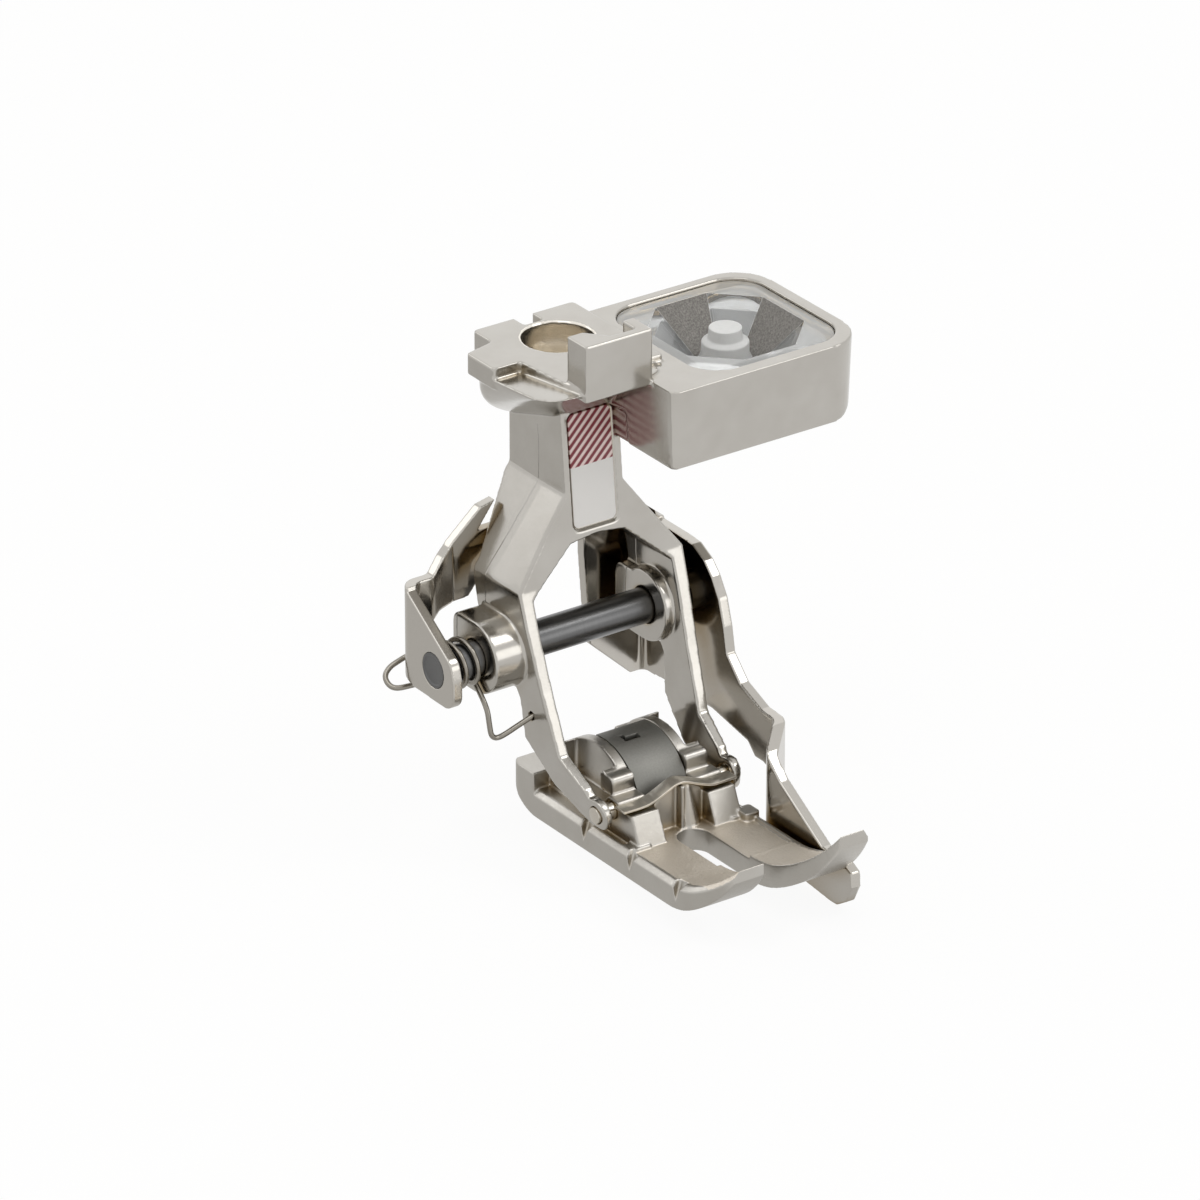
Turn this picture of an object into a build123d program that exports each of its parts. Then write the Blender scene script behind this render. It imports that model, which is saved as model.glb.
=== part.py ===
from build123d import *
from math import atan2, cos, degrees, pi, radians, sin, sqrt
import os

# Sewing machine presser foot with a sprung seam guide, in millimetres.
# The origin is the centre of the shank bore's mouth, on the top face of the head.
# +X is the machine's right, where the code housing stands out. -Y is the front, where the toes are.
# +Z is up, along the presser bar.

os.makedirs("parts", exist_ok=True)

# Places that every piece is set out from
seam_width = 6.35
needle_reach = 19.0
sole_bottom = -38.95

# Head of the shank casting
head_thickness = 1.85
lug_half_width = 4.9
lug_back = 4.9
lug_front = 2.35
lug_slot_width = 1.8
lug_slot_depth = 2.6
tongue_reach = 7.75
tongue_back = 1.6
tongue_front = -2.2
beak_side = -4.4
beak_root_side = -5.2
head_front = -10.25
head_corner = 0.3
bore_diameter = 5.9
bore_depth = 4.6
bore_rim_wall = 0.45
beak_depth = 0.5
underside_slope = 18.0
underside_neck = -5.8
underside_middle = -3.3
underside_rim = -0.75

# Hook plate that the machine's lever pulls up on
hook_height = 4.0
hook_right = 2.05
hook_plate = 0.9
hook_return_back = 2.7
hook_return_width = 1.5
hook_post_width = 1.1
hook_root = 0.9

# Housing of the code lens
box_left = 1.9
box_right = 21.2
box_front = -13.2
box_back = 3.75
box_top = -0.6
box_height = 6.9
box_corner = 3.5
box_near_corner = 0.5
box_draft = 2.0
box_rim = 1.0
box_front_rim = 1.3
box_floor = 1.1
box_lower_corner = 3.0
window_left = 6.2
window_corner = 3.0
window_ledge = 1.3
lens_recess = 0.25
lens_plate = 1.5
lens_gap = 0.06
lens_side_gap = 0.6
lens_prism_height = 2.7
lens_facet_reach = 3.5
lens_stake_diameter = 2.0

# Neck and fork of the shank casting
neck_half_width = 2.9
neck_back = 3.0
neck_waist = 11.3
fork_half_width = 8.15
fork_shoulder = 18.3
arm_width = 1.5
arm_toe_in = 1.1
crotch = 15.3
parting = 2.2
casting_draft = 1.5
knee_back = 4.2
knee_rise = 3.6
label_tilt = 5.6

# Label
label_width = 4.1
label_height = 9.7
label_thickness = 0.12
label_corner = 0.5
label_recess = 0.3
label_margin = 0.2
label_top = 4.8

# Cross shaft and its bosses
shaft_y = -3.8
shaft_z = -24.0
shaft_diameter = 3.0
shaft_clearance = 0.04
boss_radius = 3.1
boss_reach = 2.7
boss_corner = 0.9
inner_boss_reach = 0.9
inner_boss_back = 4.1

# Seam guide, bent from one strip of sheet
sheet = 0.95
ear_outside = -14.9
plate_inside = 9.5
finger_inside = 6.65
bend_radius = 0.8
ear_nose_radius = 2.9
blade_drop = 1.85
joggle_start = -16.9
joggle_end = -19.6

# Torsion spring
wire = 0.46
coil_gap = 0.42
coil_turns = 3
coil_start = -13.35
coil_length = 2.15
coil_from = 56
spring_leg_hole = 0.7

ear_back = 1.28
ear_strap_y = 0.8
strap_y = 1.9
strap_notch_rise = 8.1

# Sole
sole_thickness = 2.35
edge_chamfer = 0.45
rail_width = 2.35
rear_block_length = 3.2
rear_block_rise = 1.5
sole_back = -2.0
toe_rise_start = -24.0
left_toe_front = -30.5
right_toe_front = -33.8
left_toe_rise = 3.95
left_toe_tip = 1.05
right_toe_rise = 6.05
right_toe_tip = 1.2
toe_tip_width = 2.65
slot_width = 2.8
pocket_depth = 0.3
pocket_rim = 0.75
notch_width = 1.4
notch_height = 1.7
notch_depth = 0.9

# Hinge of the sole
hinge_y = -14.8
hinge_rise = 1.8
barrel_radius = 1.4
pin_diameter = 1.4
pin_clearance = 0.04
pin_seat = 1.7
lug_inner = 2.4
lug_outer = 5.1
lug_top_reach = 2.7
lug_foot_reach = 3.9
lug_rise = 2.25

# Hump behind the hinge, with the grey feed shield in its middle
hump_y = -9.9
hump_base = 0.2
hump_radius = 5.2
hump_half_width = 4.7
shield_half_width = 2.4
shield_thickness = 0.5
shield_reach = 1.2
shield_rise = 1.6
shield_gap = 0.05
ledge_width = 0.5
wall_half_width = 3.4
hook_block_inner = 2.5
hook_block_reach = 4.4
hook_block_rise = 2.7
hook_gap_reach = 3.0
boss_x = 0.9
boss_foot_radius = 1.25
boss_sides = 14
boss_draft = 14
web_thickness = 0.5

# Leaf spring that levels the sole
leaf_thickness = 0.2
leaf_width = 1.3
leaf_reach = 1.7
leaf_rise = 2.6
leaf_crown = 1.1
leaf_half_span = 5.55
leaf_gap = 0.08

# Values that follow from the ones above
window_length = box_right - box_rim - window_left
window_width = box_back - box_rim - box_front - box_front_rim
window_centre = ((window_left + box_right - box_rim) / 2, (box_front + box_front_rim + box_back - box_rim) / 2)
well_length = window_length - 2 * window_ledge
well_width = window_width - 2 * window_ledge
well_floor = box_top - box_height + box_floor
lens_top = box_top - lens_recess
blade_bottom = sole_bottom - blade_drop
coil_radius = shaft_diameter / 2 + coil_gap
coil_to = 180 + 360 * coil_turns
coil_steps = 36
sole_top = sole_bottom + sole_thickness
pocket_floor = sole_top - pocket_depth
hinge_z = sole_top + hinge_rise
knee = (hinge_y + knee_back, hinge_z + knee_rise)
lug_face_top = (hinge_y - lug_top_reach, sole_top + lug_rise)
lug_face_foot = hinge_y - lug_foot_reach
hump_z = sole_top + hump_base
shield_back = hump_y + shield_reach
shield_bottom = sole_top + shield_rise
hook_block_front = hump_y - hook_block_reach
hook_block_bottom = sole_top + hook_block_rise
hook_gap_back = hump_y - hook_gap_reach
leaf_y = hinge_y - leaf_reach
leaf_end_z = sole_top + leaf_rise
leaf_crown_z = leaf_end_z + leaf_crown
left_toe_z = sole_bottom + left_toe_rise
right_toe_z = sole_bottom + right_toe_rise
slot_mouth = left_toe_front + 3.5
toe_side = slot_width / 2
toe_top_start = toe_rise_start - 0.6
block_front = sole_back - 0.3 - rear_block_length
block_top = sole_bottom + sole_thickness + rear_block_rise
pin_end = 6.9
ledge_radius = hump_radius - shield_thickness
bore_radius = bore_diameter / 2
shaft_radius = shaft_diameter / 2
box_bottom = box_top - box_height
outer_foot = fork_half_width - arm_toe_in
arm_inner = outer_foot - arm_width
front_slope = sin(radians(label_tilt)) / cos(radians(label_tilt))


under_tilt = (0, sin(radians(underside_slope)), cos(radians(underside_slope)))
under_neck = Plane(origin=(0, -0.7, underside_neck), x_dir=(1, 0, 0), z_dir=under_tilt)
under_middle = Plane(origin=(0, -2.3, underside_middle), x_dir=(1, 0, 0), z_dir=under_tilt)
under_head = Plane(origin=(0, -4.4, underside_rim), x_dir=(1, 0, 0), z_dir=(0, 0.08, 1))
neck_front_top = -4.4


def front_face_y(z):
    """Front of the neck at a height; the face leans forward on its way down."""
    return -4.0 + front_slope * z


label_centre_z = -label_top - label_height / 2
label_plane = Plane(
    origin=(0, front_face_y(label_centre_z), label_centre_z),
    x_dir=(1, 0, 0),
    z_dir=(0, -cos(radians(label_tilt)), sin(radians(label_tilt))),
)
spring_hole = (shaft_y - 3.3, shaft_z - 4.8)
spring_hole_depth = 1.2


# Head of the casting: the plate in plan, thinned towards the beak, and the smooth underside below it
with BuildPart() as head_pattern:
    with BuildSketch(Plane.XY.offset(-head_thickness)) as head_plan:
        with BuildLine():
            Polyline(
                (-lug_half_width, lug_back),
                (-lug_half_width, lug_front),
                (-tongue_reach, tongue_back),
                (-tongue_reach, tongue_front),
                (beak_root_side, tongue_front),
                (beak_side, head_front),
                (hook_right, head_front),
                (hook_right, head_front + hook_return_back),
                (lug_half_width, head_front + hook_return_back),
                (lug_half_width, lug_back),
                (-lug_half_width, lug_back),
            )
        make_face()
        fillet(head_plan.vertices().filter_by(lambda v: v.X < beak_root_side + 0.5 or v.Y > 3), head_corner)
    extrude(amount=head_thickness)
    with BuildSketch(Plane.YZ.offset(-tongue_reach - 1)):
        with BuildLine():
            Polyline(
                (head_front - 1, -beak_depth),
                (head_front, -beak_depth),
                (tongue_front, -head_thickness),
                (tongue_front, -head_thickness - 1),
                (head_front - 1, -head_thickness - 1),
                (head_front - 1, -beak_depth),
            )
        make_face()
    extrude(amount=tongue_reach + hook_right + 1, mode=Mode.SUBTRACT)
    with BuildSketch(under_neck):
        RectangleRounded(2 * neck_half_width, (neck_back - neck_front_top) / cos(radians(underside_slope)), 1.2)
    with BuildSketch(under_middle):
        with Locations((-1.2, 0.1)):
            RectangleRounded(10.0, 10.6, 2.2)
    with BuildSketch(under_head):
        with Locations((-1.9, 0)):
            RectangleRounded(11.8, 11.5, 2.6)
    loft()

# Housing, a drafted box with two large corners on the right and a rounded lower right edge
with BuildPart() as box_pattern:
    with BuildSketch(Plane.XY.offset(box_top)) as box_plan:
        with Locations(((box_left + box_right) / 2, (box_front + box_back) / 2)):
            Rectangle(box_right - box_left, box_back - box_front)
        fillet(box_plan.vertices().group_by(Axis.X)[-1], box_corner)
        chamfer(box_plan.vertices().group_by(Axis.X)[0].sort_by(Axis.Y)[0], box_near_corner)
    extrude(amount=-box_height, taper=box_draft)
    with BuildSketch(Plane.XZ.offset(-box_back - 1)) as box_side:
        with Locations(((box_left + box_right) / 2, box_top - box_height / 2)):
            Rectangle(box_right - box_left + 0.2, box_height)
        fillet(box_side.vertices().sort_by(Axis.X)[2:].sort_by(Axis.Y)[0], box_lower_corner)
    extrude(amount=box_back - box_front + 2, mode=Mode.INTERSECT)

# Neck and fork, drafted both ways from the parting plane
with BuildPart() as shank:
    with BuildSketch(Plane.XZ.offset(parting)):
        with BuildLine():
            Polyline(
                (0, 0),
                (neck_half_width, 0),
                (neck_half_width, -neck_waist),
                (fork_half_width, -fork_shoulder),
                (fork_half_width, -fork_shoulder - 3.0),
                (fork_half_width - 0.5, knee[1]),
                (outer_foot, hinge_z),
                (outer_foot, hinge_z - barrel_radius),
                (arm_inner, hinge_z - barrel_radius),
                (arm_inner, hinge_z),
                (fork_half_width - arm_width - 0.5, knee[1]),
                (fork_half_width - arm_width, -fork_shoulder - 3.0),
                (fork_half_width - arm_width, -fork_shoulder - 0.9),
                (2.6, -crotch - 0.35),
                (0, -crotch),
            )
            mirror(about=Plane.YZ)
        make_face()
    extrude(amount=16, both=True, taper=casting_draft)
    # Side view of the casting: front face, knee, barrel and the hollowed back
    with BuildSketch(Plane.YZ):
        with BuildLine():
            Polyline(
                (neck_back, 0),
                (front_face_y(0), 0),
                (front_face_y(-crotch + 0.7), -crotch + 0.7),
                (shaft_y - 2.3, -fork_shoulder),
                (shaft_y - 3.5, shaft_z + 2.0),
                (shaft_y - 4.9, shaft_z - 2.2),
                knee,
                (hinge_y + 1.2, hinge_z + 1.8),
                (hinge_y, hinge_z + 0.4),
                (hinge_y, hinge_z - barrel_radius + 0.3),
                (hinge_y + 2.2, hinge_z - 0.7),
                (hinge_y + 5.5, hinge_z + 0.5),
                (hinge_y + 7.3, hinge_z + 2.2),
                (hinge_y + 8.8, knee[1]),
                (shaft_y - 1.8, shaft_z - 3.8),
                (shaft_y + 0.8, shaft_z),
                (shaft_y + 3.6, shaft_z + 2.4),
                (shaft_y + 4.2, -fork_shoulder - 0.9),
                (shaft_y + 4.2, -fork_shoulder + 0.6),
                (neck_back, -neck_waist - 0.7),
                (neck_back, 0),
            )
        make_face()
        with Locations((hinge_y, hinge_z)):
            Circle(barrel_radius)
    extrude(amount=14, both=True, mode=Mode.INTERSECT)
    # Outer boss on the left arm, with its square top corner at the back
    with BuildSketch(Plane.YZ.offset(-fork_half_width - boss_reach)) as outer_boss:
        with Locations((shaft_y, shaft_z)):
            Circle(boss_radius)
        with Locations((shaft_y + boss_radius / 2, shaft_z)):
            Rectangle(boss_radius, 2 * boss_radius)
        fillet(outer_boss.vertices().group_by(Axis.X)[-1], boss_corner)
    extrude(amount=boss_reach + arm_width)
    # Inner boss on the right arm
    with BuildSketch(Plane.YZ.offset(fork_half_width - arm_width - inner_boss_reach)) as inner_boss:
        with Locations((shaft_y, shaft_z)):
            Circle(boss_radius)
        with Locations((shaft_y + inner_boss_back / 2, shaft_z - 0.3)):
            Rectangle(inner_boss_back, 2 * boss_radius - 0.6)
        fillet(inner_boss.vertices().group_by(Axis.X)[-1], boss_corner)
    extrude(amount=inner_boss_reach + arm_width)
    # Head, from its own pattern
    add(head_pattern.part)
    # Housing, from its own pattern
    add(box_pattern.part)
    # Hook plate with a return at each end
    with BuildSketch(Plane.XY.offset(-hook_root)):
        with BuildLine():
            Polyline(
                (beak_side, head_front),
                (hook_right, head_front),
                (hook_right, head_front + hook_return_back),
                (hook_right - hook_post_width, head_front + hook_return_back),
                (hook_right - hook_post_width, head_front + hook_plate),
                (beak_side + 2 * hook_return_width, head_front + hook_plate),
                (beak_side + hook_return_width, head_front + hook_return_back),
                (beak_side, head_front + hook_return_back),
                (beak_side, head_front),
            )
        make_face()
    extrude(amount=hook_root + hook_height)
    # Slot between the back lugs
    with BuildSketch(Plane.XY.offset(-lug_slot_depth)):
        with Locations((0, (lug_back + bore_radius + bore_rim_wall) / 2 + 0.5)):
            Rectangle(lug_slot_width, lug_back - bore_radius - bore_rim_wall + 1.0)
    extrude(amount=lug_slot_depth, mode=Mode.SUBTRACT)
    # Bore for the presser bar's cone
    with BuildSketch(Plane.XY.offset(-bore_depth)):
        Circle(bore_radius)
    extrude(amount=bore_depth, mode=Mode.SUBTRACT)
    # Recess of the lens and the well under it
    with BuildSketch(Plane.XY.offset(box_top - lens_recess - lens_plate)):
        with Locations(((window_left + box_right - box_rim) / 2, (box_front + box_front_rim + box_back - box_rim) / 2)):
            RectangleRounded(box_right - box_rim - window_left, box_back - box_rim - box_front - box_front_rim, window_corner)
    extrude(amount=lens_recess + lens_plate + 2, mode=Mode.SUBTRACT)
    with BuildSketch(Plane.XY.offset(box_bottom + box_floor)):
        with Locations(((window_left + box_right - box_rim) / 2, (box_front + box_front_rim + box_back - box_rim) / 2)):
            RectangleRounded(
                box_right - box_rim - window_left - 2 * window_ledge,
                box_back - box_rim - box_front - box_front_rim - 2 * window_ledge,
                window_corner - window_ledge,
            )
    extrude(amount=box_height, mode=Mode.SUBTRACT)
    # Shallow recess for the label on the sloping front of the neck
    with BuildSketch(label_plane.offset(-label_recess)):
        RectangleRounded(label_width + 2 * label_margin, label_height + 2 * label_margin, label_corner + label_margin)
    extrude(amount=label_recess + 2, mode=Mode.SUBTRACT)
    # Hole for the torsion spring's front end
    with BuildSketch(Plane.YZ.offset(-fork_half_width)):
        with Locations(spring_hole):
            Circle(spring_leg_hole / 2)
    extrude(amount=spring_hole_depth, mode=Mode.SUBTRACT)
    # Cross shaft's hole through both bosses, and the pin holes in the barrel ends
    with BuildSketch(Plane.YZ.offset(-fork_half_width - boss_reach - 1)):
        with Locations((shaft_y, shaft_z)):
            Circle(shaft_radius + shaft_clearance)
    extrude(amount=2 * fork_half_width + boss_reach + 2, mode=Mode.SUBTRACT)
    with BuildSketch(Plane.YZ.offset(-fork_half_width)):
        with Locations((hinge_y, hinge_z)):
            Circle(pin_diameter / 2 + pin_clearance)
    extrude(amount=2 * fork_half_width, mode=Mode.SUBTRACT)
shank.part.label = "shank"
export_step(shank.part, "parts/shank.step")

# Prism of the lens, with its four sloping facets cut from the front and from the side
prism_top = lens_top - lens_plate
half_length = well_length / 2 - lens_side_gap
half_width = well_width / 2 - lens_side_gap
with BuildPart() as prism_pattern:
    with BuildSketch(Plane.XZ.offset(-window_centre[1] - half_width)):
        with Locations((window_centre[0], prism_top)):
            Polygon(
                (-half_length, 0),
                (half_length, 0),
                (half_length - lens_facet_reach, -lens_prism_height),
                (-half_length + lens_facet_reach, -lens_prism_height),
                align=None,
            )
    extrude(amount=2 * half_width)
    with BuildSketch(Plane.YZ.offset(window_centre[0] - half_length)):
        with Locations((window_centre[1], prism_top)):
            Polygon(
                (-half_width, 0),
                (half_width, 0),
                (half_width - lens_facet_reach, -lens_prism_height),
                (-half_width + lens_facet_reach, -lens_prism_height),
                align=None,
            )
    extrude(amount=2 * half_length, mode=Mode.INTERSECT)

# Clear code lens: flat on top, the prism below it, and a stake down the middle
with BuildPart() as code_lens:
    with BuildSketch(Plane.XY.offset(lens_top - lens_plate)):
        with Locations(window_centre):
            RectangleRounded(window_length - 2 * lens_gap, window_width - 2 * lens_gap, window_corner - lens_gap)
    extrude(amount=lens_plate)
    add(prism_pattern.part)
    with BuildSketch(Plane.XY.offset(well_floor)):
        with Locations(window_centre):
            Circle(lens_stake_diameter / 2)
    extrude(amount=lens_top - well_floor - lens_plate)
code_lens.part.label = "code_lens"
export_step(code_lens.part, "parts/code_lens.step")

# Label stuck in the recess of the neck
with BuildPart() as label:
    with BuildSketch(label_plane.offset(-label_recess)):
        RectangleRounded(label_width, label_height, label_corner)
    extrude(amount=label_thickness)
label.part.label = "label"
export_step(label.part, "parts/label.step")

# Cross shaft, riveted flush in both sides of the seam guide
with BuildPart() as cross_shaft:
    with BuildSketch(Plane.YZ.offset(ear_outside)):
        with Locations((shaft_y, shaft_z)):
            Circle(shaft_radius)
    extrude(amount=plate_inside + sheet - ear_outside)
cross_shaft.part.label = "cross_shaft"
export_step(cross_shaft.part, "parts/cross_shaft.step")

# Flat outlines of the seam guide, as blocks that the bent sheet is cut to
with BuildPart() as guide_pattern:
    # Ear on the left
    with BuildSketch(Plane.YZ.offset(ear_outside - 1)) as ear_outline:
        with BuildLine():
            Polyline(
                (ear_back, shaft_z + 5.8),
                (shaft_y + 3.6, shaft_z + 5.5),
                (shaft_y - ear_nose_radius * 0.86, shaft_z + ear_nose_radius * 0.5),
                (shaft_y - ear_nose_radius, shaft_z),
                (shaft_y - ear_nose_radius, shaft_z - ear_nose_radius + 0.2),
                (shaft_y + 2.8, shaft_z - 2.6),
                (ear_back, shaft_z - 1.9),
                (ear_back, shaft_z + 5.8),
            )
        make_face()
        fillet(ear_outline.vertices().sort_by(Axis.X)[:3], 1.3)
    extrude(amount=1 + sheet + bend_radius * 0.6)
    # Strap across the back, with the tab below it on the right
    with BuildSketch(Plane(origin=(0, strap_y + 3, shaft_z), x_dir=(1, 0, 0), z_dir=(0, -1, 0))):
        with BuildLine():
            Polyline(
                (ear_outside - 1, 5.8),
                (ear_outside + 3.0, 5.8),
                (ear_outside + 4.3, 6.9),
                (ear_outside + 5.2, 7.4),
                (-fork_half_width + 0.85, 9.5),
                (-fork_half_width + 1.55, 10.1),
                (-fork_half_width + 2.95, 10.4),
                (-fork_half_width + 1.25, strap_notch_rise),
                (fork_half_width - 0.35, strap_notch_rise),
                (plate_inside - 0.5, 6.7),
                (plate_inside + 0.5, 5.4),
                (plate_inside + 2, 5.1),
                (plate_inside + 2, -8.9),
                (plate_inside - 1.3, -9.0),
                (plate_inside - 5.4, -5.2),
                (plate_inside - 6.0, 3.0),
                (plate_inside - 6.0, 4.7),
                (-fork_half_width + 2.15, 4.7),
                (-fork_half_width + 0.35, 2.5),
                (ear_outside + 5.5, 2.4),
                (ear_outside + 3.8, 2.4),
                (ear_outside + 3.0, 1.9),
                (ear_outside - 1, -0.7),
                (ear_outside - 1, 5.8),
            )
        make_face()
    extrude(amount=5)
    # Plate down the right side, measured from the shaft, and the blade, measured from below the needle
    plate_edge = (
        (3.8, 5.1), (0.4, 5.1), (-1.5, 5.0), (-3.1, 4.2), (-4.2, 3.1), (-5.2, 1.5), (-5.9, -0.8), (-6.3, -3.0),
    )
    blade_edge = (
        (7.0, 11.9), (4.2, 10.8), (1.5, 10.6), (-0.4, 9.6), (-2.4, 7.8), (-8.1, 4.4), (-10.85, 4.25), (-12.1, 3.65),
        (-12.2, 2.4), (-11.4, 0.8), (-10.2, 0.05), (-9.5, 0), (-5.25, 0.4), (0.2, 2.6), (0.6, 3.8), (2.1, 5.6),
        (3.8, 6.2), (4.9, 6.2), (5.95, 7.2), (10.8, 8.1),
    )
    with BuildSketch(Plane.YZ.offset(finger_inside - 1)) as plate_outline:
        with BuildLine():
            Polyline(
                *[(shaft_y + y, shaft_z + z) for y, z in plate_edge],
                *[(-needle_reach + y, blade_bottom + z) for y, z in blade_edge],
                (0, shaft_z - 8.9),
                (0, shaft_z + 5.1),
            )
        make_face()
    extrude(amount=plate_inside - finger_inside + 3)

# Seam guide, one strip bent round the back of the casting
with BuildPart() as guide_bracket:
    with BuildSketch(Plane.XY.offset(blade_bottom - 1)):
        with BuildLine():
            FilletPolyline(
                (ear_outside + sheet / 2, shaft_y - ear_nose_radius - 1),
                (ear_outside + sheet / 2, ear_strap_y),
                (-12.1, ear_strap_y),
                (-9.4, strap_y),
                (plate_inside + sheet / 2, strap_y),
                (plate_inside + sheet / 2, joggle_start),
                (finger_inside + sheet / 2, joggle_end),
                (finger_inside + sheet / 2, -33),
                radius=1.2,
            )
        trace(line_width=sheet)
    extrude(amount=-blade_bottom - 10)
    add(guide_pattern.part, mode=Mode.INTERSECT)
    # Holes that the shaft is riveted into
    with BuildSketch(Plane.YZ.offset(ear_outside - 1)):
        with Locations((shaft_y, shaft_z)):
            Circle(shaft_radius)
    extrude(amount=plate_inside + sheet - ear_outside + 2, mode=Mode.SUBTRACT)
guide_bracket.part.label = "guide_bracket"
export_step(guide_bracket.part, "parts/guide_bracket.step")

# Torsion spring round the shaft's left end, hooked behind the ear and into the left arm
coil_points = []
for step in range(coil_steps + 1):
    share = step / coil_steps
    angle = radians(coil_from + share * (coil_to - coil_from))
    coil_points.append((
        coil_start + share * coil_length,
        shaft_y + coil_radius * cos(angle),
        shaft_z + coil_radius * sin(angle),
    ))
with BuildPart() as torsion_spring:
    with BuildLine() as spring_path:
        Polyline(*coil_points)
        FilletPolyline(
            coil_points[-1],
            (coil_start + coil_length, spring_hole[0] + 0.6, spring_hole[1] - 1.4),
            (-fork_half_width + spring_hole_depth * 0.7, spring_hole[0], spring_hole[1]),
            radius=0.8,
        )
        FilletPolyline(
            coil_points[0],
            (coil_start + 0.1, strap_y + 0.1, shaft_z - 1.4),
            (ear_outside - 0.9, strap_y + 0.1, shaft_z - 2.2),
            (ear_outside - 0.9, strap_y - 1.0, shaft_z - 3.2),
            (ear_outside + 1.8, strap_y - 1.7, shaft_z - 3.2),
            radius=0.4,
        )
    with BuildSketch(Plane(origin=spring_path.wires()[0] @ 0, z_dir=spring_path.wires()[0] % 0)):
        RegularPolygon(wire / 2, 6)
    sweep(path=spring_path.wires()[0], transition=Transition.RIGHT)
torsion_spring.part.label = "torsion_spring"
export_step(torsion_spring.part, "parts/torsion_spring.step")

# The three V notches as wedges that run out inwards
with BuildPart() as notch_pattern:
    with BuildSketch(Plane.YZ.offset(-seam_width - 0.1)):
        for notch_y in (-needle_reach + seam_width, -needle_reach, -needle_reach - seam_width):
            with Locations((notch_y, sole_top)):
                Polygon((-notch_width / 2, 0.3), (notch_width / 2, 0.3), (0.1, -notch_height), align=None)
    extrude(amount=notch_depth + 0.1)
    with BuildSketch(Plane.XZ.offset(needle_reach + 2 * seam_width)):
        with Locations((-seam_width, sole_top)):
            Polygon(
                (-0.2, 0.4),
                (notch_depth + 0.2, 0.4),
                (notch_depth, -0.1),
                (0, -notch_height),
                (-0.2, -notch_height),
                align=None,
            )
    extrude(amount=-4 * seam_width, mode=Mode.INTERSECT)

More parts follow.
